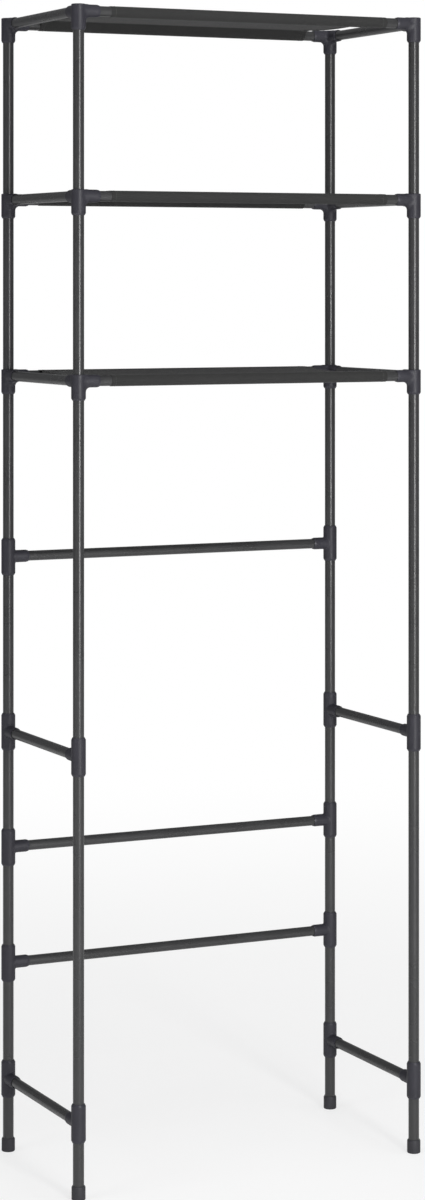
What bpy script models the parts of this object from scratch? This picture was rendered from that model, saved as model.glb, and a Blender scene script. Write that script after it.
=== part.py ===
"""Over-the-toilet storage rack: a push-together tube frame with three cloth shelves.

Metres, +Z up. The origin is on the floor under the middle of the rack, +X is the rack's right
and -Y its front. Four posts stand on push-on feet. Corner connectors hold the four tubes of
each shelf, and tee connectors hold the rear bars and the side bars. Every tube end sits in a
moulded socket, and each shelf cloth is a flat sheet with a sleeve round its front and rear tube.

Each post is two lengths of tube that meet inside the lower shelf's corner connector. The
connectors above and below that joint are sleeves on the tube.
"""

import math

import bmesh
import bpy

# Driving sizes of the frame
HEIGHT = 1.700
POST_SPACING_X = 0.545
POST_SPACING_Y = 0.270
POST_RADIUS = 0.0080
BAR_RADIUS = 0.0075
TUBE_WALL = 0.0006
FIT_GAP = 0.0003
SIDES = 12

# Levels, all measured up from the floor
SHELF_STEP = 0.2635
SHELF_TOPS = {"top": HEIGHT, "middle": HEIGHT - SHELF_STEP, "lower": HEIGHT - 2 * SHELF_STEP}
BAR_STEP = 0.1735
LOWER_SIDE_BAR_Z = 0.109
UPPER_SIDE_BAR_Z = LOWER_SIDE_BAR_Z + 3 * BAR_STEP
REAR_BARS = {
    "lower": LOWER_SIDE_BAR_Z + BAR_STEP,
    "middle": LOWER_SIDE_BAR_Z + 2 * BAR_STEP,
    "upper": UPPER_SIDE_BAR_Z + SHELF_STEP - 0.001,
}
SIDE_BARS = {"lower": LOWER_SIDE_BAR_Z, "upper": UPPER_SIDE_BAR_Z}

# Moulded connectors
BARREL_RADIUS = 0.0105
BARREL_LIP_RADIUS = 0.0089
BARREL_BORE_RADIUS = POST_RADIUS + FIT_GAP
SOCKET_RADIUS = 0.0092
SOCKET_LIP_RADIUS = 0.0084
SOCKET_BORE_RADIUS = BAR_RADIUS + FIT_GAP
TAPER = 0.0030
TEE_HEIGHT = 0.055
CORNER_HEIGHT = 0.037
SOCKET_REACH = 0.031
SOCKET_FLOOR = 0.012
SHELF_TUBE_DROP = 0.0095
CORNER_CEILING = 0.0025
STOP_RADIUS = 0.0062
STOP_HALF_HEIGHT = 0.0010
CUT_OVERRUN = 0.002

# Push-on feet
FOOT_RADIUS = 0.0100
FOOT_HEIGHT = 0.0200
FOOT_FLOOR = 0.0030
FOOT_BEVEL = 0.0015

# Shelf cloths
CLOTH_WIDTH = 0.447
SLEEVE_RADIUS = 0.0088

TUBE_END = SOCKET_FLOOR + FIT_GAP
POST_JOINT_Z = SHELF_TOPS["lower"] - CORNER_HEIGHT / 2

# Post positions, as the signs of X and Y, and the turn that points a corner's sockets inwards
POSTS = {
    "front_left": (-1, -1, 0.0),
    "front_right": (1, -1, math.pi / 2),
    "rear_right": (1, 1, math.pi),
    "rear_left": (-1, 1, -math.pi / 2),
}


def clear_scene():
    for obj in list(bpy.data.objects):
        bpy.data.objects.remove(obj, do_unlink=True)


def principled(name, colour, roughness, metallic=0.0):
    material = bpy.data.materials.new(name)
    material.use_nodes = True
    shader = material.node_tree.nodes["Principled BSDF"]
    shader.inputs["Base Color"].default_value = (*colour, 1.0)
    shader.inputs["Roughness"].default_value = roughness
    shader.inputs["Metallic"].default_value = metallic
    material.diffuse_color = (*colour, 1.0)
    return material


# Mesh helpers: rings of vertices round Z, and the faces between them

def add_ring(bm, radius, z):
    step = 2 * math.pi / SIDES
    return [bm.verts.new((radius * math.cos(i * step), radius * math.sin(i * step), z))
            for i in range(SIDES)]


def bridge(bm, lower, upper):
    for i in range(SIDES):
        j = (i + 1) % SIDES
        bm.faces.new((lower[i], lower[j], upper[j], upper[i]))


def finish_mesh(bm, name):
    bmesh.ops.recalc_face_normals(bm, faces=bm.faces)
    mesh = bpy.data.meshes.new(name)
    bm.to_mesh(mesh)
    bm.free()
    shade_round(mesh)
    return mesh


def shade_round(mesh):
    mesh.shade_smooth()
    mesh.set_sharp_from_angle(angle=math.radians(40))


def turned_solid(name, profile):
    """A solid of revolution round Z from (radius, z) pairs that run up its outer side."""
    bm = bmesh.new()
    rings = [add_ring(bm, radius, z) for radius, z in profile]
    for lower, upper in zip(rings, rings[1:]):
        bridge(bm, lower, upper)
    bm.faces.new(rings[0])
    bm.faces.new(rings[-1])
    return finish_mesh(bm, name)


def turned_shell(name, profile):
    """A solid of revolution that is open along its axis, from a closed (radius, z) outline."""
    bm = bmesh.new()
    rings = [add_ring(bm, radius, z) for radius, z in profile]
    for lower, upper in zip(rings, rings[1:] + rings[:1]):
        bridge(bm, lower, upper)
    return finish_mesh(bm, name)


def tube_mesh(name, radius, length):
    """A length of hollow tube that runs up from the origin along +Z."""
    inner = radius - TUBE_WALL
    return turned_shell(name, [(radius, 0), (radius, length), (inner, length), (inner, 0)])


def add_object(name, mesh, location=(0, 0, 0), rotation=(0, 0, 0)):
    obj = bpy.data.objects.new(name, mesh)
    obj.location = location
    obj.rotation_euler = rotation
    bpy.context.scene.collection.objects.link(obj)
    return obj


def combined_mesh(name, base, tools):
    """The base solid after a Boolean with each (operation, mesh, location, rotation) in turn."""
    body = add_object(name + "_body", base)
    helpers = []
    for operation, mesh, location, rotation in tools:
        helper = add_object(name + "_tool", mesh, location, rotation)
        helper.hide_render = True
        helper.display_type = "WIRE"
        modifier = body.modifiers.new(operation.lower(), "BOOLEAN")
        modifier.operation = operation
        modifier.solver = "EXACT"
        modifier.object = helper
        helpers.append(helper)
    depsgraph = bpy.context.evaluated_depsgraph_get()
    mesh = bpy.data.meshes.new_from_object(body.evaluated_get(depsgraph))
    mesh.name = name
    shade_round(mesh)
    for obj in [body, *helpers]:
        bpy.data.objects.remove(obj, do_unlink=True)
    return mesh


# Connectors. A socket is a side branch, given by its direction and its height on the barrel.

ALONG_X = (0, math.pi / 2, 0)
ALONG_Y = (-math.pi / 2, 0, 0)


def tapered_barrel(name, low, high, taper_top=True):
    top = [(BARREL_LIP_RADIUS, high)] if taper_top else []
    top_edge = high - TAPER if taper_top else high
    return turned_solid(name, [(BARREL_LIP_RADIUS, low), (BARREL_RADIUS, low + TAPER),
                               (BARREL_RADIUS, top_edge), *top])


def socket_branch():
    return turned_solid("socket_branch", [(SOCKET_RADIUS, 0),
                                          (SOCKET_RADIUS, SOCKET_REACH - TAPER),
                                          (SOCKET_LIP_RADIUS, SOCKET_REACH)])


def bore_cutter(low, high, radius=BARREL_BORE_RADIUS):
    return turned_solid("bore_cutter", [(radius, low), (radius, high)])


def socket_tools(height, directions):
    """Adds a branch for each direction, then cuts its blind bore."""
    branch = socket_branch()
    bore = bore_cutter(SOCKET_FLOOR, SOCKET_REACH + CUT_OVERRUN, SOCKET_BORE_RADIUS)
    unions = [("UNION", branch, (0, 0, height), turn) for turn in directions]
    cuts = [("DIFFERENCE", bore, (0, 0, height), turn) for turn in directions]
    return unions + cuts


def tee_mesh():
    """A sleeve round the post, centred on the origin, with one socket towards +X."""
    half = TEE_HEIGHT / 2
    through = bore_cutter(-half - CUT_OVERRUN, half + CUT_OVERRUN)
    tools = socket_tools(0.0, [ALONG_X])
    tools.append(("DIFFERENCE", through, (0, 0, 0), (0, 0, 0)))
    return combined_mesh("tee_connector", tapered_barrel("tee_barrel", -half, half), tools)


def corner_mesh(name, bores):
    """A barrel that hangs down from the origin, with sockets towards +X and +Y at its top."""
    barrel = tapered_barrel("corner_barrel", -CORNER_HEIGHT, 0.0, taper_top=False)
    tools = socket_tools(-SHELF_TUBE_DROP, [ALONG_X, ALONG_Y])
    tools += [("DIFFERENCE", bore, (0, 0, 0), (0, 0, 0)) for bore in bores]
    return combined_mesh(name, barrel, tools)


def corner_meshes():
    """The top corner is capped, the middle one is a sleeve, and the lower one has a tube stop."""
    bottom = -CORNER_HEIGHT - CUT_OVERRUN
    middle = -CORNER_HEIGHT / 2
    stop_low = middle - STOP_HALF_HEIGHT
    stop_high = middle + STOP_HALF_HEIGHT
    return {
        "top": corner_mesh("top_corner", [bore_cutter(bottom, -CORNER_CEILING)]),
        "middle": corner_mesh("middle_corner", [bore_cutter(bottom, CUT_OVERRUN)]),
        "lower": corner_mesh("lower_corner", [
            bore_cutter(bottom, stop_low),
            bore_cutter(stop_high, CUT_OVERRUN),
            bore_cutter(bottom, CUT_OVERRUN, STOP_RADIUS),
        ]),
    }


def foot_mesh():
    """A cup with a bevelled sole and a straight bore that takes the end of the post."""
    mesh = turned_solid("foot_cup", [(FOOT_RADIUS - FOOT_BEVEL, 0), (FOOT_RADIUS, FOOT_BEVEL),
                                     (FOOT_RADIUS, FOOT_HEIGHT - FOOT_BEVEL),
                                     (BARREL_LIP_RADIUS, FOOT_HEIGHT)])
    bore = bore_cutter(FOOT_FLOOR, FOOT_HEIGHT + CUT_OVERRUN)
    return combined_mesh("foot", mesh, [("DIFFERENCE", bore, (0, 0, 0), (0, 0, 0))])


def cloth_mesh():
    """The sheet and its two sleeves as one section in the YZ plane, drawn out along X.

    The sheet leaves each sleeve between the sleeve's top corner and the next corner inboard,
    so it lies level with the top of the tubes.
    """
    bm = bmesh.new()
    step = 2 * math.pi / SIDES
    top = SIDES // 4
    joins = []
    for side in (-1, 1):
        outer, inner = [], []
        for i in range(SIDES):
            y, z = -side * math.cos(i * step), math.sin(i * step)
            centre = side * POST_SPACING_Y / 2
            outer.append(bm.verts.new((0, centre + SLEEVE_RADIUS * y, SLEEVE_RADIUS * z)))
            inner.append(bm.verts.new((0, centre + SOCKET_BORE_RADIUS * y,
                                       SOCKET_BORE_RADIUS * z)))
        for i in range(SIDES):
            j = (i + 1) % SIDES
            bm.faces.new((outer[i], outer[j], inner[j], inner[i]))
        joins.append((outer[top], outer[top - 1]))
    (front_top, front_low), (rear_top, rear_low) = joins
    bm.faces.new((front_top, front_low, rear_low, rear_top))
    drawn = bmesh.ops.extrude_face_region(bm, geom=list(bm.faces))["geom"]
    moved = [item for item in drawn if isinstance(item, bmesh.types.BMVert)]
    bmesh.ops.translate(bm, verts=moved, vec=(CLOTH_WIDTH, 0, 0))
    bmesh.ops.translate(bm, verts=bm.verts, vec=(-CLOTH_WIDTH / 2, 0, 0))
    return finish_mesh(bm, "shelf_cloth")


class Rack:
    """Places the parts. Each one gets a material of its own in the look of its kind."""

    LOOKS = {
        "tube": ((0.055, 0.055, 0.057), 0.38, 0.0),
        "connector": ((0.048, 0.046, 0.058), 0.50, 0.0),
        "foot": ((0.045, 0.044, 0.052), 0.60, 0.0),
        "cloth": ((0.040, 0.040, 0.041), 0.92, 0.0),
    }

    def place(self, name, kind, mesh, location, rotation=(0, 0, 0)):
        obj = add_object(name, mesh, location, rotation)
        if not mesh.materials:
            mesh.materials.append(None)
        slot = obj.material_slots[0]
        slot.link = "OBJECT"
        slot.material = principled(name, *self.LOOKS[kind])

    def build(self):
        self.add_posts_and_feet()
        self.add_shelves()
        self.add_rear_bars()
        self.add_side_bars()

    def add_posts_and_feet(self):
        lower_start = FOOT_FLOOR + FIT_GAP
        lower_end = POST_JOINT_Z - STOP_HALF_HEIGHT - FIT_GAP
        upper_start = POST_JOINT_Z + STOP_HALF_HEIGHT + FIT_GAP
        upper_end = HEIGHT - CORNER_CEILING - FIT_GAP
        foot = foot_mesh()
        lower = tube_mesh("post_lower_tube", POST_RADIUS, lower_end - lower_start)
        upper = tube_mesh("post_upper_tube", POST_RADIUS, upper_end - upper_start)
        for post, (sx, sy, _) in POSTS.items():
            x, y = sx * POST_SPACING_X / 2, sy * POST_SPACING_Y / 2
            self.place(post + "_foot", "foot", foot, (x, y, 0))
            self.place(post + "_lower_post_tube", "tube", lower, (x, y, lower_start))
            self.place(post + "_upper_post_tube", "tube", upper, (x, y, upper_start))

    def add_shelves(self):
        self.long_tube = tube_mesh("long_tube", BAR_RADIUS, POST_SPACING_X - 2 * TUBE_END)
        self.short_tube = tube_mesh("short_tube", BAR_RADIUS, POST_SPACING_Y - 2 * TUBE_END)
        corners = corner_meshes()
        cloth = cloth_mesh()
        for shelf, top in SHELF_TOPS.items():
            axis = top - SHELF_TUBE_DROP
            for post, (sx, sy, turn) in POSTS.items():
                x, y = sx * POST_SPACING_X / 2, sy * POST_SPACING_Y / 2
                self.place(f"{shelf}_shelf_{post}_corner", "connector", corners[shelf],
                           (x, y, top), (0, 0, turn))
            for side, sy in (("front", -1), ("rear", 1)):
                self.place_long_tube(f"{shelf}_shelf_{side}_tube", sy, axis)
            for side, sx in (("left", -1), ("right", 1)):
                self.place_short_tube(f"{shelf}_shelf_{side}_tube", sx, axis)
            self.place(f"{shelf}_shelf_cloth", "cloth", cloth, (0, 0, axis))

    def place_long_tube(self, name, sy, z):
        start = (-POST_SPACING_X / 2 + TUBE_END, sy * POST_SPACING_Y / 2, z)
        self.place(name, "tube", self.long_tube, start, ALONG_X)

    def place_short_tube(self, name, sx, z):
        start = (sx * POST_SPACING_X / 2, -POST_SPACING_Y / 2 + TUBE_END, z)
        self.place(name, "tube", self.short_tube, start, ALONG_Y)

    def add_rear_bars(self):
        self.tee = tee_mesh()
        y = POST_SPACING_Y / 2
        for level, z in REAR_BARS.items():
            self.place_long_tube(f"rear_{level}_bar", 1, z)
            for side, sx, turn in (("left", -1, 0.0), ("right", 1, math.pi)):
                self.place(f"rear_{level}_bar_{side}_tee", "connector", self.tee,
                           (sx * POST_SPACING_X / 2, y, z), (0, 0, turn))

    def add_side_bars(self):
        for level, z in SIDE_BARS.items():
            for side, sx in (("left", -1), ("right", 1)):
                self.place_short_tube(f"{side}_{level}_side_bar", sx, z)
                for end, sy, turn in (("front", -1, math.pi / 2), ("rear", 1, -math.pi / 2)):
                    self.place(f"{side}_{level}_side_bar_{end}_tee", "connector", self.tee,
                               (sx * POST_SPACING_X / 2, sy * POST_SPACING_Y / 2, z), (0, 0, turn))


clear_scene()
Rack().build()
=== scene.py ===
"""The looks of an over-the-toilet storage rack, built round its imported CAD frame.

Metres, +Z up, in the frame's own axes: the origin is on the floor under the middle of the rack,
+X is its right and -Y its front. Every place comes from the boxes of the CAD nodes. The sizes
named here are the ones that the boxes don't give, such as bores, fillets and seams.
"""

import math

import bmesh
import bpy
import numpy as np
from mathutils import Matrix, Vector


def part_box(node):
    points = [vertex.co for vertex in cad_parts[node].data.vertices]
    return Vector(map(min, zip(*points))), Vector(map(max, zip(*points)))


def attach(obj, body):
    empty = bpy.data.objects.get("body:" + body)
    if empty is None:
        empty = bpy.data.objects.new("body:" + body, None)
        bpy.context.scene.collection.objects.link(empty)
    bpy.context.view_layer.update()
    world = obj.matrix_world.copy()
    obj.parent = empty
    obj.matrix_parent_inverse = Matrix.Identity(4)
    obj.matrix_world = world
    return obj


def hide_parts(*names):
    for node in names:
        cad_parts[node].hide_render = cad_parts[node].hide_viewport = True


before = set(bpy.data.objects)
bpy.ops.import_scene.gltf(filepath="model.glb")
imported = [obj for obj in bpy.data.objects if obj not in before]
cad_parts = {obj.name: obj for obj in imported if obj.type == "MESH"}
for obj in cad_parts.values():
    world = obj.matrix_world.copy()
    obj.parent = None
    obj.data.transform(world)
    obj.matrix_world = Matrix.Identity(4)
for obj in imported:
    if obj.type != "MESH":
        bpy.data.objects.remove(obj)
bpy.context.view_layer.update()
MM = 0.001

SHELVES = ("top", "middle", "lower")
POST_TURNS = {
    "front_left": 0.0,
    "front_right": math.pi / 2,
    "rear_right": math.pi,
    "rear_left": -math.pi / 2,
}


def centre(node):
    low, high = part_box(node)
    return (low + high) / 2


def span(node):
    low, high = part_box(node)
    return high - low


# Sizes read from the frame
POST_RADIUS = span("front_left_lower_post_tube").x / 2
BAR_RADIUS = span("rear_upper_bar").z / 2
TEE_HALF = span("rear_lower_bar_left_tee").z / 2
CORNER_HEIGHT = span("top_shelf_front_left_corner").z
BARREL_RADIUS = centre("front_left_foot").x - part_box("top_shelf_front_left_corner")[0].x
SOCKET_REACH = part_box("top_shelf_front_left_corner")[1].x - centre("front_left_foot").x
SHELF_TUBE_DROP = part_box("top_shelf_front_left_corner")[1].z - centre("top_shelf_front_tube").z
FOOT_RADIUS = span("front_left_foot").x / 2
FOOT_HEIGHT = span("front_left_foot").z

# Tubes
TUBE_WALL = 0.6 * MM
TUBE_SIDES = 48
TUBE_EDGE = 0.15 * MM

# Moulded connectors. Each starts as a blank that runs past its ends, and tools cut it back.
SOCKET_RADIUS = 9.2 * MM
LIP_WALL = 0.9 * MM
BORE_PLAY = 0.15 * MM
POST_BORE = POST_RADIUS + BORE_PLAY
BAR_BORE = BAR_RADIUS + BORE_PLAY
BORE_CHAMFER = 0.35 * MM
SOCKET_FLOOR = 12.0 * MM
CEILING = 2.5 * MM
TAPER = 3.0 * MM
RIB_RADIUS = 6.2 * MM
RIB_HALF = 1.0 * MM
TUBE_GAP = 0.3 * MM
RIM_ROUND = 1.4 * MM
TEE_FILLET = 2.2 * MM
CORNER_FILLET = 7.5 * MM
ELBOW_FILLET = 4.0 * MM
BLANK_EXTRA = 2.0 * MM
NET_STEP = 1.0 * MM
NET_MARGIN = 4.0 * MM
TOOL_MARGIN = 3.5 * MM
WEAR_REACH = 0.9 * MM

# Feet
FOOT_FLOOR = 3.0 * MM

# Floor. The lift is how much of plain white it has by the rack.
FLOOR_RINGS = (0, 0.6, 2.0, 6.0, 18.0, 60.0)
FLOOR_SIDES = 96
FLOOR_LIFT = 0.68

# Cloths
FABRIC = 0.50 * MM
FINE_STEP = 1.15 * MM
COARSE_STEP = 3.2 * MM
HEM_STEP = 0.9 * MM
SHEET_COLUMNS = 125
LAYER_STEP = 0.55 * MM
SLEEVE_PLAY = 0.15 * MM
SLEEVE_RADIUS = BAR_RADIUS + SLEEVE_PLAY + FABRIC / 2
SEAM_FROM_TUBE = 15.0 * MM
SEAM_ALLOWANCE = 9.0 * MM
SEAM_ROWS = (SEAM_FROM_TUBE + 1.6 * MM, SEAM_FROM_TUBE + SEAM_ALLOWANCE - 1.8 * MM)
SIDE_HEM = 8.0 * MM
HEM_ROW = SIDE_HEM - 1.5 * MM
SAG = 5.5 * MM
PUCKER_HEIGHT = 0.10 * MM
PUCKER_REACH = 11.0 * MM
GROOVE_DEPTH = 0.16 * MM
GROOVE_WIDTH = 1.1 * MM
STITCH_PITCH = 3.2 * MM
STITCH_LENGTH = 2.5 * MM
STITCH_LINE_STEP = 0.5 * MM
THREAD_RADIUS = 0.22 * MM

# Cloth simulation of the sheet between its seams
SIM_GRID = (75, 41)
SIM_FRAMES = 40
SIM_RIPPLE = 0.15 * MM
SIM_SLACK = 0.006


# ----------------------------------------------------------------------
# Camera, lights and floor
# ----------------------------------------------------------------------

def link(obj):
    bpy.context.scene.collection.objects.link(obj)
    return obj


def add_camera():
    """Eye-level three-quarter view from the front left, upright, with the frame shifted down."""
    data = bpy.data.cameras.new("camera")
    data.sensor_width = 36.0
    data.lens = 91.56
    data.shift_y = -0.2695
    data.clip_end = 300.0
    camera = link(bpy.data.objects.new("camera", data))
    camera.location = (-1.9665, -4.1337, 1.3122)
    camera.rotation_euler = (math.pi / 2, 0, -math.radians(25.473))
    bpy.context.scene.camera = camera


def add_softbox(name, place, target, size, watts, mirrored=False):
    """A soft light. Only a mirrored one shows as a highlight on the tubes and mouldings."""
    data = bpy.data.lights.new(name, "AREA")
    data.shape = "RECTANGLE"
    data.size, data.size_y = size
    data.energy = watts
    light = link(bpy.data.objects.new(name, data))
    light.location = place
    light.rotation_euler = (Vector(target) - Vector(place)).to_track_quat("-Z", "Y").to_euler()
    light.visible_camera = False
    light.visible_glossy = mirrored


def add_studio():
    """A white room: the backdrop is bright to the eye and gentler as a light."""
    bpy.context.scene.view_settings.view_transform = "Standard"
    world = bpy.data.worlds.new("studio")
    bpy.context.scene.world = world
    world.use_nodes = True
    tree = world.node_tree
    tree.nodes.clear()
    seen = add(tree, "ShaderNodeBackground", {"Color": (1, 1, 1, 1), "Strength": 1.0})
    light = add(tree, "ShaderNodeBackground", {"Color": (0.97, 0.98, 1, 1), "Strength": 0.22})
    ray = add(tree, "ShaderNodeLightPath")
    both = add(tree, "ShaderNodeMixShader", {0: ray.outputs["Is Camera Ray"],
                                             1: light.outputs[0], 2: seen.outputs[0]})
    add(tree, "ShaderNodeOutputWorld", {"Surface": both.outputs[0]})
    middle = (0, 0, 0.95)
    add_softbox("front_strip", (-0.05, -4.2, 1.0), (0, 0, 1.0), (0.6, 1.3), 75, mirrored=True)
    add_softbox("high_strip", (-0.05, -4.2, 2.3), (0, 0, 1.6), (0.6, 1.3), 44, mirrored=True)
    add_softbox("overhead", (0.4, -1.2, 4.2), middle, (3.0, 3.0), 76)
    add_softbox("left_fill", (-4.0, -1.0, 1.4), middle, (2.0, 2.5), 60)
    add_softbox("low_fill", (0.2, -2.2, 0.12), (0, 0, 1.6), (2.4, 0.8), 17)
    add_softbox("rear_fill", (1.5, 4.5, 2.0), middle, (2.5, 2.5), 40)


def add_floor():
    """A round pale floor that runs out into the white backdrop."""
    disc = lathe("floor", [(radius, 0) for radius in FLOOR_RINGS], FLOOR_SIDES)
    floor = link(bpy.data.objects.new("floor", disc))
    floor.data.materials.append(floor_paint())


# ----------------------------------------------------------------------
# Materials
# ----------------------------------------------------------------------

def add(tree, kind, inputs=(), **settings):
    """A new node with its settings. Each input is a plain value, or an output to link to it."""
    node = tree.nodes.new(kind)
    for key, value in settings.items():
        setattr(node, key, value)
    for key, value in dict(inputs).items():
        if isinstance(value, bpy.types.NodeSocket):
            tree.links.new(value, node.inputs[key])
        else:
            node.inputs[key].default_value = value
    return node


def calc(tree, operation, *values):
    node = add(tree, "ShaderNodeMath", dict(enumerate(values)), operation=operation)
    return node.outputs[0]


def weighted(tree, *pairs):
    """The sum of each source times its share."""
    total = 0.0
    for source, share in pairs:
        total = calc(tree, "MULTIPLY_ADD", source, share, total)
    return total


def scaled(tree, vector, factors):
    node = add(tree, "ShaderNodeVectorMath", {0: vector, 1: factors}, operation="MULTIPLY")
    return node.outputs[0]


def noise(tree, vector, scale, detail=2.0, roughness=0.5):
    node = add(tree, "ShaderNodeTexNoise", {"Vector": vector, "Scale": scale,
                                            "Detail": detail, "Roughness": roughness})
    return node.outputs["Fac"]


def between(tree, share, low, high, start=0.3, end=0.7):
    """A value that goes smoothly from low to high as the share goes from start to end."""
    node = add(tree, "ShaderNodeMapRange", {"Value": share, "From Min": start, "From Max": end,
                                            "To Min": low, "To Max": high},
               interpolation_type="SMOOTHSTEP")
    return node.outputs["Result"]


def tinted(tree, share, dark, light):
    node = add(tree, "ShaderNodeMix", {0: share, 6: (*dark, 1), 7: (*light, 1)},
               data_type="RGBA")
    return node.outputs[2]


def own_place(tree):
    """Object coordinates, moved by a different amount for each piece, so no two are alike."""
    place = add(tree, "ShaderNodeTexCoord").outputs["Object"]
    chance = add(tree, "ShaderNodeObjectInfo").outputs["Random"]
    return add(tree, "ShaderNodeVectorMath", {0: place, 1: scaled(tree, chance, (7, 5, 3))},
               operation="ADD").outputs[0]


def bumped(tree, height, distance, strength=1.0, under=None):
    inputs = {"Height": height, "Distance": distance, "Strength": strength}
    if under is not None:
        inputs["Normal"] = under
    return add(tree, "ShaderNodeBump", inputs).outputs["Normal"]


def material(name, colour, plain, paint):
    """A Principled material. plain holds uniform values, and paint adds the nodes for the rest."""
    made = bpy.data.materials.new(name)
    made.use_nodes = True
    made.diffuse_color = (*colour, 1)
    tree = made.node_tree
    shader = tree.nodes["Principled BSDF"]
    for key, value in plain.items():
        shader.inputs[key].default_value = value
    for key, output in paint(tree).items():
        tree.links.new(output, shader.inputs[key])
    return made


def powder_coat():
    """Charcoal powder coat: specks, faint orange peel, clouds of gloss and rubbed streaks."""
    def paint(tree):
        place = own_place(tree)
        clouds = noise(tree, place, 18, 3)
        grain = noise(tree, place, 2600)
        peel = noise(tree, place, 700, 0)
        streaks = noise(tree, scaled(tree, place, (420, 420, 9)), 1.0, 3, 0.65)
        rubbed = between(tree, streaks, 0, 1, 0.60, 0.78)
        tone = weighted(tree, (clouds, 0.65), (grain, 0.35), (rubbed, 0.35))
        satin = between(tree, clouds, 0.26, 0.32)
        return {
            "Base Color": tinted(tree, tone, (0.020, 0.020, 0.0205), (0.040, 0.040, 0.041)),
            "Roughness": calc(tree, "MULTIPLY_ADD", rubbed, -0.05, satin),
            "Normal": bumped(tree, peel, 0.0015 * MM),
        }
    return material("powder_coat", (0.035, 0.035, 0.036), {"Specular IOR Level": 0.5}, paint)


def moulded(name, dark, light, satin, line_axis=None, line_at=0.0):
    """Moulded plastic: spark-eroded grain, rubbed lips and, where given, a mould parting line."""
    def paint(tree):
        place = own_place(tree)
        clouds = noise(tree, place, 45, 3)
        grain = noise(tree, place, 1900)
        lips = add(tree, "ShaderNodeAttribute", attribute_name="wear").outputs["Fac"]
        worn = calc(tree, "MULTIPLY", lips, between(tree, noise(tree, place, 300, 3), 0.2, 1))
        tone = weighted(tree, (clouds, 0.55), (grain, 0.30), (worn, 0.55))
        rough = calc(tree, "MULTIPLY_ADD", worn, -0.10,
                     between(tree, clouds, satin, satin + 0.10))
        normal = bumped(tree, grain, 0.012 * MM)
        if line_axis is not None:
            own = add(tree, "ShaderNodeTexCoord").outputs["Object"]
            along = add(tree, "ShaderNodeSeparateXYZ", {0: own}).outputs[line_axis]
            away = calc(tree, "ABSOLUTE", calc(tree, "SUBTRACT", along, line_at))
            ridge = between(tree, away, 1, 0, 0.05 * MM, 0.22 * MM)
            normal = bumped(tree, ridge, 0.08 * MM, 0.6, normal)
        return {"Base Color": tinted(tree, tone, dark, light), "Roughness": rough,
                "Normal": normal}
    return material(name, light, {"Specular IOR Level": 0.32}, paint)


def woven():
    """Coarse plain-weave polyester, from the cloth's own flat coordinates, with painted shade in
    the dips of the weave.
    """
    def paint(tree):
        flat = add(tree, "ShaderNodeAttribute", attribute_name="flat").outputs["Vector"]
        threads = scaled(tree, flat, (1 / (0.95 * MM),) * 3)
        part = add(tree, "ShaderNodeSeparateXYZ", {0: threads})
        over = add(tree, "ShaderNodeTexChecker", {"Vector": threads, "Scale": 1.0,
                                                  "Color1": (1, 1, 1, 1),
                                                  "Color2": (0, 0, 0, 1)}).outputs["Fac"]
        across, along = (calc(tree, "ABSOLUTE", calc(tree, "SINE", calc(
            tree, "MULTIPLY", part.outputs[axis], math.pi))) for axis in (0, 1))
        warp = calc(tree, "MULTIPLY", calc(tree, "POWER", across, 0.6),
                    calc(tree, "MULTIPLY_ADD", along, 0.5, 0.5))
        weft = calc(tree, "MULTIPLY", calc(tree, "POWER", along, 0.6),
                    calc(tree, "MULTIPLY_ADD", across, 0.5, 0.5))
        height = add(tree, "ShaderNodeMix", {0: over, 2: warp, 3: weft}).outputs[0]
        slub_warp = noise(tree, scaled(tree, flat, (1100, 45, 1)), 1.0)
        slub_weft = noise(tree, scaled(tree, flat, (45, 1100, 1)), 1.0)
        slub = add(tree, "ShaderNodeMix", {0: over, 2: slub_warp, 3: slub_weft}).outputs[0]
        clouds = noise(tree, flat, 22, 3)
        fuzz = noise(tree, flat, 2600)
        # The weave's height also sets the colour: the dips between threads are darker and the
        # thread tops lighter, which is painted shade. The slubs, clouds and fuzz are the yarn's
        # own tone.
        tone = weighted(tree, (height, 0.38), (slub, 0.34), (clouds, 0.20), (fuzz, 0.16))
        normal = bumped(tree, fuzz, 0.05 * MM, 0.4, bumped(tree, height, 0.16 * MM, 0.55))
        return {
            "Base Color": tinted(tree, tone, (0.009, 0.009, 0.009), (0.035, 0.035, 0.0345)),
            "Roughness": between(tree, slub, 0.78, 0.92),
            "Normal": normal,
        }
    plain = {"Specular IOR Level": 0.25, "Sheen Weight": 0.06, "Sheen Roughness": 0.5}
    return material("woven_polyester", (0.042, 0.042, 0.041), plain, paint)


def sewing_thread():
    """Charcoal polyester thread with its twist."""
    def paint(tree):
        place = own_place(tree)
        twist = add(tree, "ShaderNodeTexWave", {"Vector": place, "Scale": 420.0,
                                                "Distortion": 1.5}, bands_direction="DIAGONAL")
        fibres = noise(tree, place, 900)
        return {
            "Base Color": tinted(tree, fibres, (0.040, 0.040, 0.041), (0.090, 0.090, 0.092)),
            "Roughness": between(tree, fibres, 0.55, 0.70),
            "Normal": bumped(tree, twist.outputs["Fac"], 0.05 * MM, 0.6),
        }
    return material("sewing_thread", (0.06, 0.06, 0.06), {"Sheen Weight": 0.2}, paint)


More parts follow.
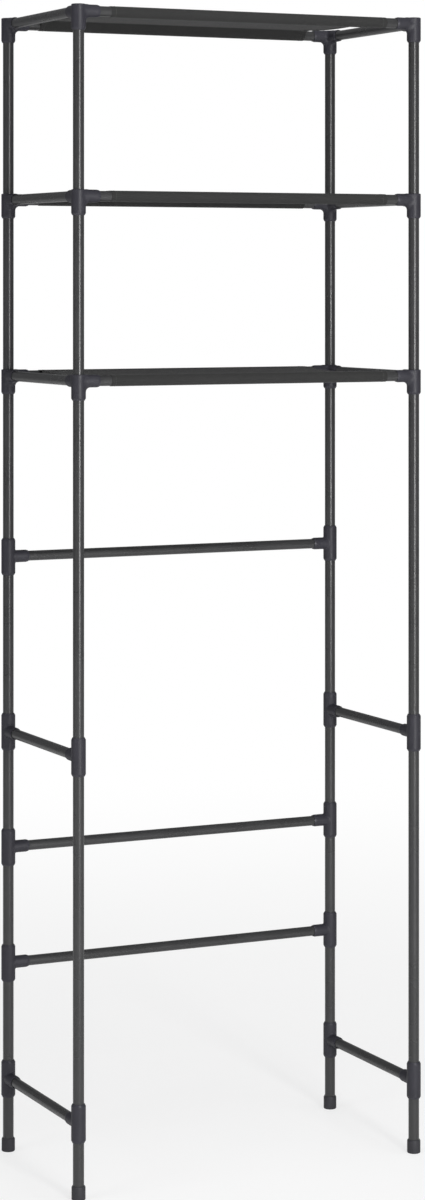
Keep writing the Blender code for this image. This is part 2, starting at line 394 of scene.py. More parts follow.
def floor_paint():
    """Pale paint that runs out into the white of the backdrop with distance from the rack."""
    def paint(tree):
        clouds = noise(tree, add(tree, "ShaderNodeTexCoord").outputs["Object"], 3, 4)
        return {"Base Color": tinted(tree, clouds, (0.90, 0.90, 0.90), (0.93, 0.93, 0.93)),
                "Roughness": between(tree, clouds, 0.62, 0.72)}

    made = material("floor_paint", (0.92, 0.92, 0.92), {"Specular IOR Level": 0.2}, paint)
    tree = made.node_tree
    place = add(tree, "ShaderNodeTexCoord").outputs["Object"]
    away = add(tree, "ShaderNodeVectorMath", {0: place}, operation="LENGTH").outputs["Value"]
    seen = add(tree, "ShaderNodeLightPath").outputs["Is Camera Ray"]
    share = calc(tree, "MULTIPLY", between(tree, away, FLOOR_LIFT, 1, 0.4, 3.5), seen)
    white = add(tree, "ShaderNodeEmission", {"Color": (1, 1, 1, 1), "Strength": 1.0})
    both = add(tree, "ShaderNodeMixShader", {0: share, 1: tree.nodes["Principled BSDF"].outputs[0],
                                             2: white.outputs[0]})
    tree.links.new(both.outputs[0], tree.nodes["Material Output"].inputs["Surface"])
    return made


# ----------------------------------------------------------------------
# Mesh helpers
# ----------------------------------------------------------------------

def mesh_of(name, points, *face_lists):
    mesh = bpy.data.meshes.new(name)
    faces = [face for faces in face_lists for face in np.asarray(faces).tolist()]
    mesh.from_pydata(np.asarray(points).tolist(), [], faces)
    mesh.validate()
    return mesh


def shade(mesh, angle):
    """Smooth shading, apart from edges that turn by more than the angle in degrees."""
    mesh.shade_smooth()
    mesh.set_sharp_from_angle(angle=math.radians(angle))
    return mesh


def lathe(name, outline, sides, closed=False):
    """A surface turned round Z through (radius, z) pairs.

    A radius of zero is a pole. A closed outline joins its last pair to its first.
    """
    bm = bmesh.new()
    rings = []
    for radius, z in outline:
        if radius < 1e-7:
            rings.append([bm.verts.new((0, 0, z))])
            continue
        rings.append([bm.verts.new((radius * math.cos(2 * math.pi * i / sides),
                                    radius * math.sin(2 * math.pi * i / sides), z))
                      for i in range(sides)])
    pairs = list(zip(rings, rings[1:]))
    if closed:
        pairs.append((rings[-1], rings[0]))
    for lower, upper in pairs:
        for i in range(sides):
            j = (i + 1) % sides
            if len(lower) == 1:
                bm.faces.new((lower[0], upper[j], upper[i]))
            elif len(upper) == 1:
                bm.faces.new((lower[i], lower[j], upper[0]))
            else:
                bm.faces.new((lower[i], lower[j], upper[j], upper[i]))
    bmesh.ops.recalc_face_normals(bm, faces=bm.faces)
    mesh = bpy.data.meshes.new(name)
    bm.to_mesh(mesh)
    bm.free()
    return mesh


def cut(name, body, tools):
    """The body mesh less every tool, given as (mesh, location, rotation)."""
    subject = link(bpy.data.objects.new(name, body))
    helpers = []
    for mesh, location, rotation in tools:
        helper = link(bpy.data.objects.new(name + "_tool", mesh))
        helper.location, helper.rotation_euler = location, rotation
        modifier = subject.modifiers.new("cut", "BOOLEAN")
        modifier.operation, modifier.solver, modifier.object = "DIFFERENCE", "EXACT", helper
        helpers.append(helper)
    graph = bpy.context.evaluated_depsgraph_get()
    mesh = bpy.data.meshes.new_from_object(subject.evaluated_get(graph))
    mesh.name = name
    for obj in (subject, *helpers):
        bpy.data.objects.remove(obj, do_unlink=True)
    return mesh


def eased(values):
    """The rows with each inner one averaged with its neighbours."""
    inner = (values[:-2] + 2 * values[1:-1] + values[2:]) / 4
    return np.concatenate([values[:1], inner, values[-1:]])


def run_along(points):
    """The distance along a path at each of its points."""
    steps = np.linalg.norm(np.diff(points, axis=0), axis=1)
    return np.concatenate([[0], np.cumsum(steps)])


def unit(vectors):
    return vectors / np.maximum(np.linalg.norm(vectors, axis=-1, keepdims=True), 1e-12)


def vertices_of(mesh):
    co = np.empty(len(mesh.vertices) * 3, np.float32)
    mesh.vertices.foreach_get("co", co)
    return co.reshape(-1, 3).astype(float)


def keep_on(mesh, name, values):
    """Keeps a number or a vector for each vertex, for the mesh's material to read."""
    values = np.asarray(values, np.float32)
    kind, key = ("FLOAT", "value") if values.ndim == 1 else ("FLOAT_VECTOR", "vector")
    mesh.attributes.new(name, kind, "POINT").data.foreach_set(key, values.ravel())


def add_piece(name, mesh, look, nodes, location=(0, 0, 0), rotation=(0, 0, 0)):
    """A shown piece in its place, with its finish and the CAD nodes that it stands for."""
    piece = link(bpy.data.objects.new(name, mesh))
    piece.location, piece.rotation_euler = location, rotation
    if not mesh.materials:
        mesh.materials.append(look)
    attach(piece, "root")
    if nodes:
        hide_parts(*nodes)
    return piece


# ----------------------------------------------------------------------
# Tubes
# ----------------------------------------------------------------------

ALONG_X = (0, math.pi / 2, 0)
ALONG_Y = (-math.pi / 2, 0, 0)
UPRIGHT = (0, 0, 0)
tube_meshes = {}


def tube_mesh(radius, length):
    """A length of thin-walled tube up +Z from the origin, with its cut edges broken."""
    key = (round(radius, 6), round(length, 6))
    if key not in tube_meshes:
        inner, edge = radius - TUBE_WALL, TUBE_EDGE
        outline = [(radius, edge), (radius, length - edge),
                   (radius - edge, length), (inner + edge, length),
                   (inner, length - edge), (inner, edge),
                   (inner + edge, 0), (radius - edge, 0)]
        tube_meshes[key] = shade(lathe("tube", outline, TUBE_SIDES, closed=True), 30)
    return tube_meshes[key]


def add_tube(name, node, start, radius, length, rotation, look):
    add_piece(name, tube_mesh(radius, length), look, [node], start, rotation)


def connectors_on(post):
    """The connectors on a post, from the floor up."""
    depth, side = post.split("_")
    names = [f"{side}_{level}_side_bar_{depth}_tee" for level in ("lower", "upper")]
    if depth == "rear":
        names += [f"rear_{level}_bar_{side}_tee" for level in ("lower", "middle", "upper")]
    names += [f"{shelf}_shelf_{post}_corner" for shelf in SHELVES]
    return sorted(names, key=lambda name: centre(name).z)


def add_posts(look):
    """Each post is a run of short tubes whose ends meet the rib inside each connector."""
    for post in POST_TURNS:
        foot = centre(post + "_foot")
        joints = connectors_on(post)
        start = FOOT_FLOOR + TUBE_GAP
        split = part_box(post + "_lower_post_tube")[1].z
        for number, joint in enumerate(joints, 1):
            end = centre(joint).z - RIB_HALF - TUBE_GAP
            if joint == joints[-1]:
                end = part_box(joint)[1].z - CEILING - TUBE_GAP
            half = "lower" if start < split else "upper"
            add_tube(f"{post}_post_section_{number}", f"{post}_{half}_post_tube",
                     (foot.x, foot.y, start), POST_RADIUS, end - start, UPRIGHT, look)
            start = centre(joint).z + RIB_HALF + TUBE_GAP


def add_bars(look):
    """The shelf tubes, rear bars and side bars, each in the place of its CAD node."""
    long_bars = [f"{shelf}_shelf_{side}_tube" for shelf in SHELVES for side in ("front", "rear")]
    long_bars += [f"rear_{level}_bar" for level in ("lower", "middle", "upper")]
    short_bars = [f"{shelf}_shelf_{side}_tube" for shelf in SHELVES for side in ("left", "right")]
    short_bars += [f"{side}_{level}_side_bar" for side in ("left", "right")
                   for level in ("lower", "upper")]
    for nodes, axis, turn in ((long_bars, 0, ALONG_X), (short_bars, 1, ALONG_Y)):
        for node in nodes:
            start = centre(node)
            start[axis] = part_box(node)[0][axis]
            add_tube(node + "_steel", node, start, BAR_RADIUS, span(node)[axis], turn, look)


# ----------------------------------------------------------------------
# Connectors: a distance field gives the outside, and turned tools cut its ends and bores
# ----------------------------------------------------------------------

def straight_body(points, radius, axis, origin=(0, 0, 0), both_ways=False):
    """Distance and normal of a cylinder from the origin along the axis, or both ways."""
    away = points - np.asarray(origin)
    axis = np.asarray(axis, float)
    along = away @ axis
    if not both_ways:
        along = np.maximum(along, 0)
    radial = away - along[:, None] * axis
    length = np.maximum(np.linalg.norm(radial, axis=1), 1e-9)
    return length - radius, radial / length[:, None]


def capped_barrel(points, radius):
    """Distance and normal of a cylinder that hangs down from a flat top with a rounded rim."""
    across = np.maximum(np.linalg.norm(points[:, :2], axis=1), 1e-9)
    out = np.stack([across - radius + RIM_ROUND, points[:, 2] + RIM_ROUND], axis=1)
    beyond = np.maximum(out, 0)
    reach = np.linalg.norm(beyond, axis=1)
    distance = reach + np.minimum(out.max(axis=1), 0) - RIM_ROUND
    nearest = np.where((out[:, :1] > out[:, 1:]), [[1.0, 0.0]], [[0.0, 1.0]])
    lean = np.where(reach[:, None] > 1e-9, beyond / np.maximum(reach, 1e-9)[:, None], nearest)
    outward = points[:, :2] / across[:, None]
    return distance, np.concatenate([outward * lean[:, :1], lean[:, 1:]], axis=1)


def filleted(first, second, radius):
    """The union of two bodies with a round fillet, which fades where their faces are parallel."""
    (a, normal_a), (b, normal_b) = first, second
    size = radius * np.clip(1 - (normal_a * normal_b).sum(axis=1), 0.001, 2)
    u, v = np.maximum(size - a, 0), np.maximum(size - b, 0)
    joined = np.maximum(size, np.minimum(a, b)) - np.hypot(u, v)
    mixed = u[:, None] * normal_a + v[:, None] * normal_b
    nearer = np.where((a < b)[:, None], normal_a, normal_b)
    length = np.linalg.norm(mixed, axis=1, keepdims=True)
    return joined, np.where(length > 1e-9, mixed / np.maximum(length, 1e-9), nearer)


def tee_field(points):
    barrel = straight_body(points, BARREL_RADIUS, (0, 0, 1), both_ways=True)
    socket = straight_body(points, SOCKET_RADIUS, (1, 0, 0))
    distance = filleted(barrel, socket, TEE_FILLET)[0]
    slab = np.maximum(np.abs(points[:, 2]) - TEE_HALF, points[:, 0] - SOCKET_REACH)
    return np.maximum(distance, slab - BLANK_EXTRA)


def corner_field(points):
    centre_line = (0, 0, -SHELF_TUBE_DROP)
    sockets = filleted(straight_body(points, SOCKET_RADIUS, (1, 0, 0), centre_line),
                       straight_body(points, SOCKET_RADIUS, (0, 1, 0), centre_line),
                       ELBOW_FILLET)
    distance = filleted(capped_barrel(points, BARREL_RADIUS), sockets, CORNER_FILLET)[0]
    slab = np.maximum(-points[:, 2] - CORNER_HEIGHT, points[:, :2].max(axis=1) - SOCKET_REACH)
    return np.maximum(distance, slab - BLANK_EXTRA)


def surface_net(field, low, high):
    """Points and quads round the body where the field is negative, one point per mixed cell."""
    axes = [np.arange(a, b + NET_STEP, NET_STEP) for a, b in zip(low, high)]
    grid = np.stack(np.meshgrid(*axes, indexing="ij"), axis=-1)
    inside = (field(grid.reshape(-1, 3)) < 0).reshape(grid.shape[:3])
    cells = [n - 1 for n in inside.shape]
    corners = [(i, j, k) for i in (0, 1) for j in (0, 1) for k in (0, 1)]
    count = sum(inside[i:i + cells[0], j:j + cells[1], k:k + cells[2]].astype(int)
                for i, j, k in corners)
    mixed = (count > 0) & (count < len(corners))
    number = np.full(mixed.shape, -1)
    number[mixed] = np.arange(mixed.sum())
    points = grid[:-1, :-1, :-1][mixed] + NET_STEP / 2
    quads = []
    for axis in range(3):
        before = np.take(inside, np.arange(inside.shape[axis] - 1), axis=axis)
        after = np.take(inside, np.arange(1, inside.shape[axis]), axis=axis)
        step_u, step_v = np.eye(3, dtype=int)[(axis + 1) % 3], np.eye(3, dtype=int)[(axis + 2) % 3]
        edges = np.argwhere(before != after)
        ring = [edges, edges - step_u, edges - step_u - step_v, edges - step_v]
        faces = np.stack([number[tuple(cell.T)] for cell in ring], axis=1)
        inward = ~before[tuple(edges.T)]
        faces[inward] = faces[inward, ::-1]
        quads.append(faces)
    return points, np.concatenate(quads)


def onto_surface(points, field, rounds=3):
    """Moves points to where the field is zero, along its slope."""
    reach = 0.01 * MM
    for _ in range(rounds):
        value = field(points)
        slope = np.stack([(field(points + step) - field(points - step)) / (2 * reach)
                          for step in np.eye(3) * reach], axis=1)
        steepness = np.maximum((slope ** 2).sum(axis=1), 0.05)
        move = np.clip(value / steepness, -NET_STEP, NET_STEP)
        points = points - move[:, None] * slope
    return points


def relaxed(points, quads, field, rounds=10):
    """Evens out the points over the surface."""
    sides = np.concatenate([quads[:, [0, 1]], quads[:, [1, 2]], quads[:, [2, 3]],
                            quads[:, [3, 0]]])
    links = np.unique(np.sort(sides, axis=1), axis=0)
    points = onto_surface(points, field)
    for _ in range(rounds):
        total, count = np.zeros_like(points), np.zeros(len(points))
        for a, b in ((0, 1), (1, 0)):
            np.add.at(total, links[:, a], points[links[:, b]])
            np.add.at(count, links[:, a], 1)
        points = onto_surface((points + total / count[:, None]) / 2, field, 1)
    return onto_surface(points, field)


def mouth(radius, tube_radius, end):
    """The outline of a tool that cuts a mouth and its taper, from the bore outwards.

    The taper's cone is drawn on past the body until it is clear of it.
    """
    bore, lip, clear = tube_radius + BORE_PLAY, tube_radius + LIP_WALL, 0.4 * MM
    back = TAPER * (radius + clear - lip) / (radius - lip)
    return [(bore, end - BORE_CHAMFER), (bore + BORE_CHAMFER, end),
            (lip, end), (radius + clear, end - back), (radius + TOOL_MARGIN, end - back),
            (radius + TOOL_MARGIN, end + TOOL_MARGIN), (0, end + TOOL_MARGIN)]


def socket_tool():
    """Cuts a socket's blind bore and its mouth."""
    outline = [(0, SOCKET_FLOOR), (BAR_BORE, SOCKET_FLOOR),
               *mouth(SOCKET_RADIUS, BAR_RADIUS, SOCKET_REACH)]
    return lathe("socket_tool", outline, TUBE_SIDES)


def upside_down(outline):
    return [(radius, -z) for radius, z in reversed(outline)]


def through_tool(low_outline, high_outline, middle):
    """A tool for a barrel that is open at both ends and keeps a rib for the tubes to meet."""
    rib = [(POST_BORE, middle - RIB_HALF), (RIB_RADIUS, middle - RIB_HALF),
           (RIB_RADIUS, middle + RIB_HALF), (POST_BORE, middle + RIB_HALF)]
    return lathe("barrel_tool", [*low_outline, *rib, *high_outline], TUBE_SIDES)


def worn_lips(mesh, lips):
    """How near each vertex is to a lip, given as (axis, place), for the wear in the material."""
    co = vertices_of(mesh)
    near = np.max([np.exp(-np.abs(co[:, axis] - at) / WEAR_REACH) for axis, at in lips], axis=0)
    keep_on(mesh, "wear", near)


def connector_mesh(name, field, low, high, tools, lips):
    points, quads = surface_net(field, low, high)
    body = mesh_of(name + "_body", relaxed(points, quads, field), quads)
    mesh = cut(name, body, tools)
    worn_lips(mesh, lips)
    return shade(mesh, 32)


def tee_mesh():
    """A sleeve round the post, centred on the origin, with one socket towards +X."""
    out, end = BARREL_RADIUS + NET_MARGIN, TEE_HALF + NET_MARGIN
    low, high = (-out, -out, -end), (SOCKET_REACH + NET_MARGIN, out, end)
    barrel_mouth = mouth(BARREL_RADIUS, POST_RADIUS, TEE_HALF)
    tools = [(through_tool(upside_down(barrel_mouth), barrel_mouth, 0.0), (0, 0, 0), UPRIGHT),
             (socket_tool(), (0, 0, 0), ALONG_X)]
    return connector_mesh("tee_moulding", tee_field, low, high, tools,
                          [(2, -TEE_HALF), (2, TEE_HALF), (0, SOCKET_REACH)])


def corner_mesh(open_top):
    """A barrel that hangs from the origin, with sockets towards +X and +Y at its top."""
    out, reach = BARREL_RADIUS + NET_MARGIN, SOCKET_REACH + NET_MARGIN
    low, high = (-out, -out, -CORNER_HEIGHT - NET_MARGIN), (reach, reach, NET_MARGIN)
    bottom = upside_down(mouth(BARREL_RADIUS, POST_RADIUS, CORNER_HEIGHT))
    if open_top:
        rim = POST_BORE + BORE_CHAMFER
        top = [(POST_BORE, -BORE_CHAMFER), (rim, 0), (rim, NET_MARGIN), (0, NET_MARGIN)]
        barrel_tool = through_tool(bottom, top, -CORNER_HEIGHT / 2)
    else:
        barrel_tool = lathe("barrel_tool", [*bottom, (POST_BORE, -CEILING), (0, -CEILING)],
                            TUBE_SIDES)
    branch_tool = socket_tool()
    tools = [(barrel_tool, (0, 0, 0), UPRIGHT),
             (branch_tool, (0, 0, -SHELF_TUBE_DROP), ALONG_X),
             (branch_tool, (0, 0, -SHELF_TUBE_DROP), ALONG_Y)]
    return connector_mesh("corner_moulding", corner_field, low, high, tools,
                          [(2, -CORNER_HEIGHT), (2, 0.0), (0, SOCKET_REACH), (1, SOCKET_REACH)])


def add_connectors():
    dark, light = (0.017, 0.0165, 0.021), (0.039, 0.038, 0.048)
    tee_look = moulded("tee_plastic", dark, light, 0.42, line_axis=1)
    corner_look = moulded("corner_plastic", dark, light, 0.42, 2, -SHELF_TUBE_DROP)
    capped, opened, tee = corner_mesh(False), corner_mesh(True), tee_mesh()
    for post, turn in POST_TURNS.items():
        foot = centre(post + "_foot")
        for shelf in SHELVES:
            node = f"{shelf}_shelf_{post}_corner"
            add_piece(node + "_moulding", capped if shelf == "top" else opened, corner_look,
                      [node], (foot.x, foot.y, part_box(node)[1].z), (0, 0, turn))
        for node in connectors_on(post):
            if node.endswith("_tee"):
                lean = centre(node) - foot
                add_piece(node + "_moulding", tee, tee_look, [node],
                          (foot.x, foot.y, centre(node).z), (0, 0, math.atan2(lean.y, lean.x)))


# ----------------------------------------------------------------------
# Feet
# ----------------------------------------------------------------------

def foot_mesh():
    """A push-on cap with a rounded sole, a shallow recess under it and a tapered lip."""
    sole_round = 1.6 * MM
    recess, recess_depth = 5.4 * MM, 0.7 * MM
    lip = POST_RADIUS + LIP_WALL
    angles = [math.radians(angle) for angle in range(-90, 1, 15)]
    outline = [(0, recess_depth), (recess, recess_depth), (recess + recess_depth, 0),
               *((FOOT_RADIUS - sole_round + sole_round * math.cos(a),
                  sole_round + sole_round * math.sin(a)) for a in angles),
               (FOOT_RADIUS, FOOT_HEIGHT - 2.2 * MM),
               (FOOT_RADIUS - 0.25 * MM, FOOT_HEIGHT - 1.3 * MM),
               (lip + 0.15 * MM, FOOT_HEIGHT - 0.12 * MM), (lip, FOOT_HEIGHT),
               (POST_BORE + BORE_CHAMFER, FOOT_HEIGHT), (POST_BORE, FOOT_HEIGHT - BORE_CHAMFER),
               (POST_BORE, FOOT_FLOOR), (0, FOOT_FLOOR)]
    mesh = lathe("foot_cap", outline, TUBE_SIDES)
    worn_lips(mesh, [(2, 0.0), (2, FOOT_HEIGHT)])
    return shade(mesh, 40)


def add_feet():
    mesh = foot_mesh()
    look = moulded("foot_plastic", (0.018, 0.018, 0.021), (0.043, 0.042, 0.048), 0.50)
    for post in POST_TURNS:
        node = post + "_foot"
        middle = centre(node)
        add_piece(node + "_cap", mesh, look, [node],
                  (middle.x, middle.y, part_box(node)[0].z))


# ----------------------------------------------------------------------
# Cloths
# ----------------------------------------------------------------------

class Cloth:
    """One shelf's cloth: its section from hem to hem, drawn out between the side hems.

    The section is a path in the YZ plane: the front seam allowance, the sleeve round the front
    tube, the sheet, and the same again at the rear. Lengths along it are s, measured from the
    sheet's middle, and x runs across the rack. Both are kept on the mesh as its flat coordinates.
    """

    def __init__(self, shelf, seed):
        self.shelf = shelf
        self.node = f"{shelf}_shelf_cloth"
        self.width = span(self.node).x
        self.front = centre(f"{shelf}_shelf_front_tube").y
        self.rear = centre(f"{shelf}_shelf_rear_tube").y
        self.axis = centre(f"{shelf}_shelf_front_tube").z
        self.half_depth = (self.rear - self.front) / 2
        self.middle = (self.rear + self.front) / 2
        self.chance = np.random.default_rng(seed)
        self.gathers = [(self.chance.uniform(0.3, 1.0), self.chance.uniform(180, 620),
                         self.chance.uniform(0, 2 * math.pi)) for _ in range(7)]
        self.settled = self.hang()

    # The hang of the sheet between its seams

    def hang(self):
        """How far the sheet lies below flat, over a grid in x and y, from a cloth simulation."""
        halves = (self.width / 2, self.half_depth - SEAM_FROM_TUBE)
        xs, ys = (np.linspace(-half, half, count) for half, count in zip(halves, SIM_GRID))
        fall = self.simulated(xs, ys)
        return xs, ys, -SAG * fall / fall.max()

    def simulated(self, xs, ys):
        """Lets a slightly slack sheet hang from its two sewn edges and gives its fall."""
        columns, rows = len(xs), len(ys)
        grid_x, grid_y = np.meshgrid(xs, ys, indexing="ij")
        ripple = sum(self.chance.uniform(0.2, 1.0) * np.sin(
            grid_x * self.chance.uniform(25, 130) + grid_y * self.chance.uniform(-60, 60)
            + self.chance.uniform(0, 2 * math.pi)) for _ in range(9))
        start = ripple * SIM_RIPPLE * np.cos(grid_y / ys[-1] * math.pi / 2)
        points = np.stack([grid_x, grid_y, start], axis=-1).reshape(-1, 3)
        index = np.arange(columns * rows).reshape(columns, rows)
        quads = np.stack([index[:-1, :-1], index[1:, :-1], index[1:, 1:], index[:-1, 1:]],
                         axis=-1).reshape(-1, 4)
        mesh = mesh_of("hanging_sheet", points, quads)
        sheet = link(bpy.data.objects.new("hanging_sheet", mesh))
        pins = sheet.vertex_groups.new(name="sewn")
        pins.add([int(i) for i in np.concatenate([index[:, 0], index[:, -1]])], 1.0, "REPLACE")
        modifier = sheet.modifiers.new("cloth", "CLOTH")
        settings = modifier.settings
        settings.vertex_group_mass = "sewn"
        settings.quality = 8
        settings.mass = 0.05
        settings.tension_stiffness = settings.compression_stiffness = 60
        settings.shear_stiffness = 30
        settings.bending_stiffness = 0.8
        settings.air_damping = 4
        settings.shrink_min = settings.shrink_max = -SIM_SLACK
        modifier.collision_settings.use_collision = False
        scene = bpy.context.scene
        for number in range(1, SIM_FRAMES + 1):
            scene.frame_set(number)
        graph = bpy.context.evaluated_depsgraph_get()
        settled = vertices_of(sheet.evaluated_get(graph).to_mesh())
        scene.frame_set(1)
        bpy.data.objects.remove(sheet, do_unlink=True)
        return -settled[:, 2].reshape(columns, rows)

    def drop_at(self, x, y):
        """The settled height over flat at each point of a grid, smoothed from the simulation."""
        xs, ys, drop = self.settled
        for _ in range(2):
            drop = eased(eased(drop).T).T
        by_x = np.stack([np.interp(x, xs, drop[:, j]) for j in range(len(ys))], axis=1)
        return np.stack([np.interp(y, ys, row, left=0, right=0) for row in by_x])

    # The section

    def half_section(self, layer):
        """The path from the seam allowance's edge, round the tube and over to mid sheet.

        It is drawn for the front, as (inboard from the tube, up from the tube's axis). layer is
        how far the allowance lies under the sheet. The sleeve leaves the tube on a tangent. The
        points are under 1 mm apart.
        """
        seam = (SEAM_FROM_TUBE, SLEEVE_RADIUS - layer)
        distance = math.hypot(*seam)
        leave = math.atan2(seam[1], seam[0]) - math.acos(SLEEVE_RADIUS / distance)
        turn = leave + 2 * math.pi - math.pi / 2
        tangent = SLEEVE_RADIUS * np.array([math.cos(leave), math.sin(leave)])
        edge = (SEAM_FROM_TUBE + SEAM_ALLOWANCE, seam[1])
        angle = np.linspace(leave, leave - turn, 60, endpoint=False)
        path = np.concatenate([
            np.linspace(edge, seam, 12, endpoint=False),
            np.linspace(seam, tangent, 16, endpoint=False),
            SLEEVE_RADIUS * np.stack([np.cos(angle), np.sin(angle)], axis=1),
            np.linspace((0, SLEEVE_RADIUS), (self.half_depth, SLEEVE_RADIUS), 151)])
        for _ in range(6):
            path = eased(path)
        return path

    def section(self, layer, stations):
        """The whole path at the given shares of its length, as (y, z) and distance s."""
        front = self.half_section(layer)
        rear = front[::-1][1:] * [-1, 1] + [2 * self.half_depth, 0]
        path = np.concatenate([front, rear]) + [self.front, self.axis]
        length = run_along(path)
        at = stations * length[-1]
        return np.stack([np.interp(at, length, path[:, 0]),
                         np.interp(at, length, path[:, 1])], axis=1), at - length[-1] / 2

    def stations(self):
        """Shares of the section's length, close together round the sleeves and at the seams."""
        half = run_along(self.half_section(LAYER_STEP))[-1]
        sleeve_end = half - (self.half_depth - SEAM_FROM_TUBE - SEAM_ALLOWANCE - 3 * MM)
        fine = np.linspace(0, sleeve_end, round(sleeve_end / FINE_STEP))
        coarse = np.linspace(sleeve_end, half, round((half - sleeve_end) / COARSE_STEP) + 1)
        front = np.concatenate([fine, coarse[1:]])
        return np.concatenate([front, 2 * half - front[::-1][1:]]) / (2 * half)

    def columns(self):
        """(x, depth under the sheet) across the width: a side hem, the sheet, a side hem.

        They are close together near the stitches of the hems.
        """
        fold = LAYER_STEP / 2
        half = self.width / 2 - fold
        stitch, near = half - HEM_ROW, 3 * MM
        middle = np.linspace(near + MM - stitch, stitch - near - MM, SHEET_COLUMNS)
        edge = np.arange(stitch - near, stitch + near + HEM_STEP / 2, HEM_STEP)
        top = np.concatenate([[-half], -edge[::-1], middle, edge, [half]])
        turn = np.linspace(0, math.pi, 7)[1:-1]
        right = [(half + fold * math.sin(a), fold * (1 - math.cos(a))) for a in turn]
        right += [(x, LAYER_STEP) for x in np.linspace(half, half - SIDE_HEM, 7)]
        left = [(-x, depth) for x, depth in reversed(right)]
        return np.array(left + [(x, 0.0) for x in top] + right)

    def surface(self, stations, x):
        """Points and outward normals of the sheet at each station and each x, and the s there.

        Where the side hems add layers, the seam allowance lies lower under the sheet.
        """
        hem_start = self.width / 2 - SIDE_HEM - 5 * MM
        rise, fade = 4 * MM, 3 * MM
        edge = np.clip((np.abs(x) - hem_start) / rise, 0, 1)
        thick = edge * edge * (3 - 2 * edge)
        plain, s = self.section(LAYER_STEP, stations)
        stacked, _ = self.section(3 * LAYER_STEP, stations)
        yz = plain[:, None] * (1 - thick[None, :, None]) + stacked[:, None] * thick[None, :, None]
        points = np.concatenate([np.broadcast_to(x[None, :, None], yz.shape[:2] + (1,)), yz],
                                axis=2)
        on_top = np.abs(s) < self.half_depth
        inboard = self.half_depth - np.abs(points[:, 0, 1] - self.middle)
        sheet = np.where(on_top, np.clip((inboard - SEAM_FROM_TUBE) / fade, 0, 1), 0)
        drop = self.drop_at(x, points[:, 0, 1] - self.middle).T * sheet[:, None]
        points[:, :, 2] += drop + self.puckers(x, inboard, on_top) + self.grooves(x, inboard)
        return points, unit(np.cross([1.0, 0, 0], np.gradient(points, axis=0))), s

    def puckers(self, x, inboard, on_top):
        """Small gathers that run in from the sewn seams and fade over the sheet."""
        past = inboard - SEAM_FROM_TUBE
        near = np.exp(-np.maximum(past, 0) / PUCKER_REACH) * (past > 0) * on_top
        wave = sum(size * np.sin(x * pace + phase) for size, pace, phase in self.gathers)
        return near[:, None] * wave[None, :] * PUCKER_HEIGHT

    def grooves(self, x, inboard):
        """The thread pulls the layers together along the sleeve seams and the side hems."""
        rows = sum(np.exp(-((inboard - at) / GROOVE_WIDTH) ** 2) for at in SEAM_ROWS)
        sides = np.exp(-((np.abs(x) - self.width / 2 + HEM_ROW) / GROOVE_WIDTH) ** 2)
        flat = inboard > SEAM_FROM_TUBE
        return -GROOVE_DEPTH * np.maximum(rows[:, None], sides[None, :] * flat[:, None])

    # The meshes

    def sheet_mesh(self):
        """A closed shell of the fabric's thickness over the whole section and both side hems."""
        columns = self.columns()
        stations = self.stations()
        points, normal, s = self.surface(stations, columns[:, 0])
        centre_line = points - normal * columns[None, :, 1:]
        # The outward normals turn over with the cloth at its folds
        out = unit(np.cross(np.gradient(centre_line, axis=1), np.gradient(centre_line, axis=0)))
        count_s, count_x = centre_line.shape[:2]
        outer = (centre_line + out * FABRIC / 2).reshape(-1, 3)
        inner = (centre_line - out * FABRIC / 2).reshape(-1, 3)
        index = np.arange(count_s * count_x).reshape(count_s, count_x)
        quads = np.stack([index[:-1, :-1], index[:-1, 1:], index[1:, 1:], index[1:, :-1]],
                         axis=-1).reshape(-1, 4)
        shift = count_s * count_x
        rim = np.concatenate([index[0, :], index[1:, -1], index[-1, -2::-1], index[-2:0:-1, 0]])
        after = np.roll(rim, -1)
        edge = np.stack([after, rim, rim + shift, after + shift], axis=1)
        mesh = mesh_of(self.node, np.concatenate([outer, inner]),
                       np.concatenate([quads, quads[:, ::-1] + shift, edge]))
        run = run_along(columns)
        flat_x, flat_s = np.meshgrid(run, s)
        flat = np.stack([flat_x, flat_s, np.zeros_like(flat_x)], axis=-1).reshape(-1, 3)
        keep_on(mesh, "flat", np.concatenate([flat, flat]))
        self.flat_size = (float(run[-1]), float(s[-1] - s[0]))
        return shade(mesh, 60)

    def line_across(self, s, x):
        """Points and outward normals along x at one place s, with a row beside it each way."""
        beside = 0.3 * MM
        shares = np.array([s - beside, s, s + beside]) / self.flat_size[1] + 0.5
        points, normal, _ = self.surface(shares, x)
        return points[1], normal[1]

    def line_along(self, reach, x):
        """Points and outward normals at one place x, as far as reach both ways from s = 0."""
        along = np.arange(-reach, reach, STITCH_LINE_STEP) / self.flat_size[1] + 0.5
        points, normal, _ = self.surface(along, np.array([x]))
        return points[:, 0], normal[:, 0]

    def stitch_lines(self):
        """Every sewn line as (points, normals, height of the thread's bed over the points)."""
        half_path = self.flat_size[1] / 2
        half_width = self.width / 2 - 2 * MM
        across = np.arange(-half_width, half_width, STITCH_LINE_STEP)
        seam_end = SEAM_FROM_TUBE + SEAM_ALLOWANCE
        face = FABRIC / 2
        for side in (-1, 1):
            for row in SEAM_ROWS:
                for s in (self.half_depth - row, half_path - (seam_end - row)):
                    yield *self.line_across(side * s, across), face
            x = side * (self.width / 2 - HEM_ROW)
            yield *self.line_along(half_path - SEAM_ALLOWANCE - 4 * MM, x), face
            points, normal = self.line_along(self.half_depth - seam_end - 2 * MM, x)
            yield points, -normal, LAYER_STEP + face

    def stitching_mesh(self):
        """All the stitches of one cloth: short threads that rise from the fabric and dip back."""
        points, quads, caps = [], [], []
        for line, normal, bed in self.stitch_lines():
            add_stitches(points, quads, caps, line + normal * bed, normal)
        return shade(mesh_of(self.shelf + "_stitching", np.concatenate(points),
                             np.concatenate(quads), np.concatenate(caps)), 60)


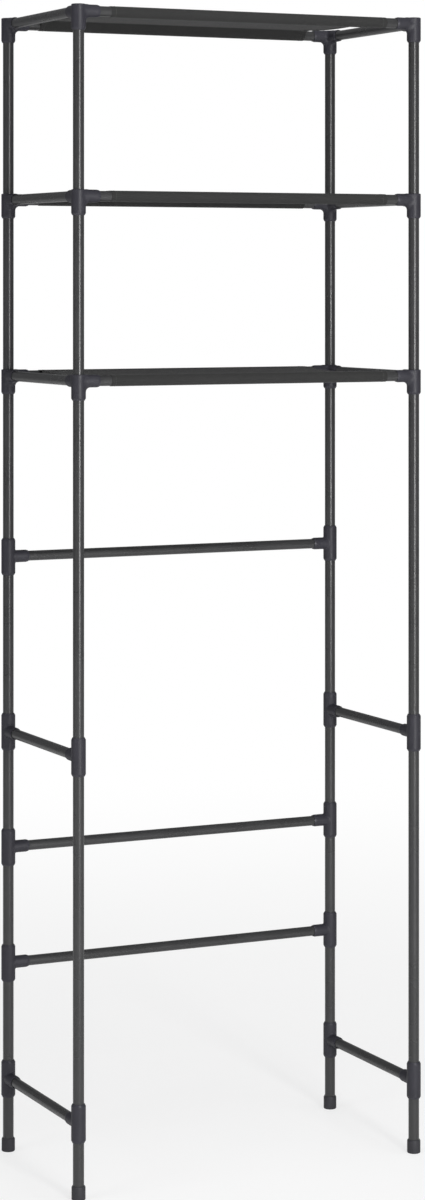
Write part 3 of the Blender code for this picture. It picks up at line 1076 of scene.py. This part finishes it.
def add_stitches(points, quads, caps, line, normal):
    """Adds spindle-shaped stitches at each pitch along a line that lies on the fabric."""
    sides = 5
    shares = np.array([0.0, 0.22, 0.5, 0.78, 1.0])
    rise = np.array([-0.20, 0.02, 0.14, 0.02, -0.20]) * MM
    girth = np.array([0.0, 0.8, 1.0, 0.8, 0.0]) * THREAD_RADIUS
    run = run_along(line)
    starts = np.arange(0.5 * STITCH_PITCH, run[-1] - STITCH_PITCH, STITCH_PITCH)
    at = starts[:, None] + shares[None, :] * STITCH_LENGTH

    def read(values):
        return np.stack([np.interp(at, run, values[:, axis]) for axis in range(3)], axis=-1)

    up = unit(read(normal))
    middle = read(line) + up * rise[None, :, None]
    sideways = np.cross(unit(np.gradient(middle, axis=1)), up)
    angle = 2 * math.pi * np.arange(sides) / sides
    ring = (np.cos(angle)[None, None, :, None] * up[:, :, None]
            + np.sin(angle)[None, None, :, None] * sideways[:, :, None])
    rings = middle[:, :, None] + ring * girth[None, :, None, None]
    count = len(starts)
    per = 2 + 3 * sides
    base = sum(len(block) for block in points) + np.arange(count)[:, None] * per
    block = np.concatenate([middle[:, :1], rings[:, 1:4].reshape(count, -1, 3), middle[:, 4:]],
                           axis=1)
    points.append(block.reshape(-1, 3))
    this, following = np.arange(sides), (np.arange(sides) + 1) % sides
    for band in (1, 1 + sides):
        quad = np.stack([band + this, band + following, band + sides + following,
                         band + sides + this], axis=1)
        quads.append((base[:, :, None] + quad[None]).reshape(-1, 4))
    last = 1 + 2 * sides
    start_cap = np.stack([np.zeros(sides, int), 1 + following, 1 + this], axis=1)
    end_cap = np.stack([last + this, last + following, np.full(sides, per - 1)], axis=1)
    for cap in (start_cap, end_cap):
        caps.append((base[:, :, None] + cap[None]).reshape(-1, 3))


def add_cloths():
    fabric, thread = woven(), sewing_thread()
    for seed, shelf in enumerate(SHELVES, 11):
        cloth = Cloth(shelf, seed)
        sheet = add_piece(cloth.node + "_sheet", cloth.sheet_mesh(), fabric,
                          [cloth.node])
        stitching = add_piece(f"{shelf}_shelf_stitching", cloth.stitching_mesh(), thread,
                              [])


# ----------------------------------------------------------------------
# The whole rack
# ----------------------------------------------------------------------

add_camera()
add_studio()
add_floor()
coat = powder_coat()
add_posts(coat)
add_bars(coat)
add_connectors()
add_feet()
add_cloths()
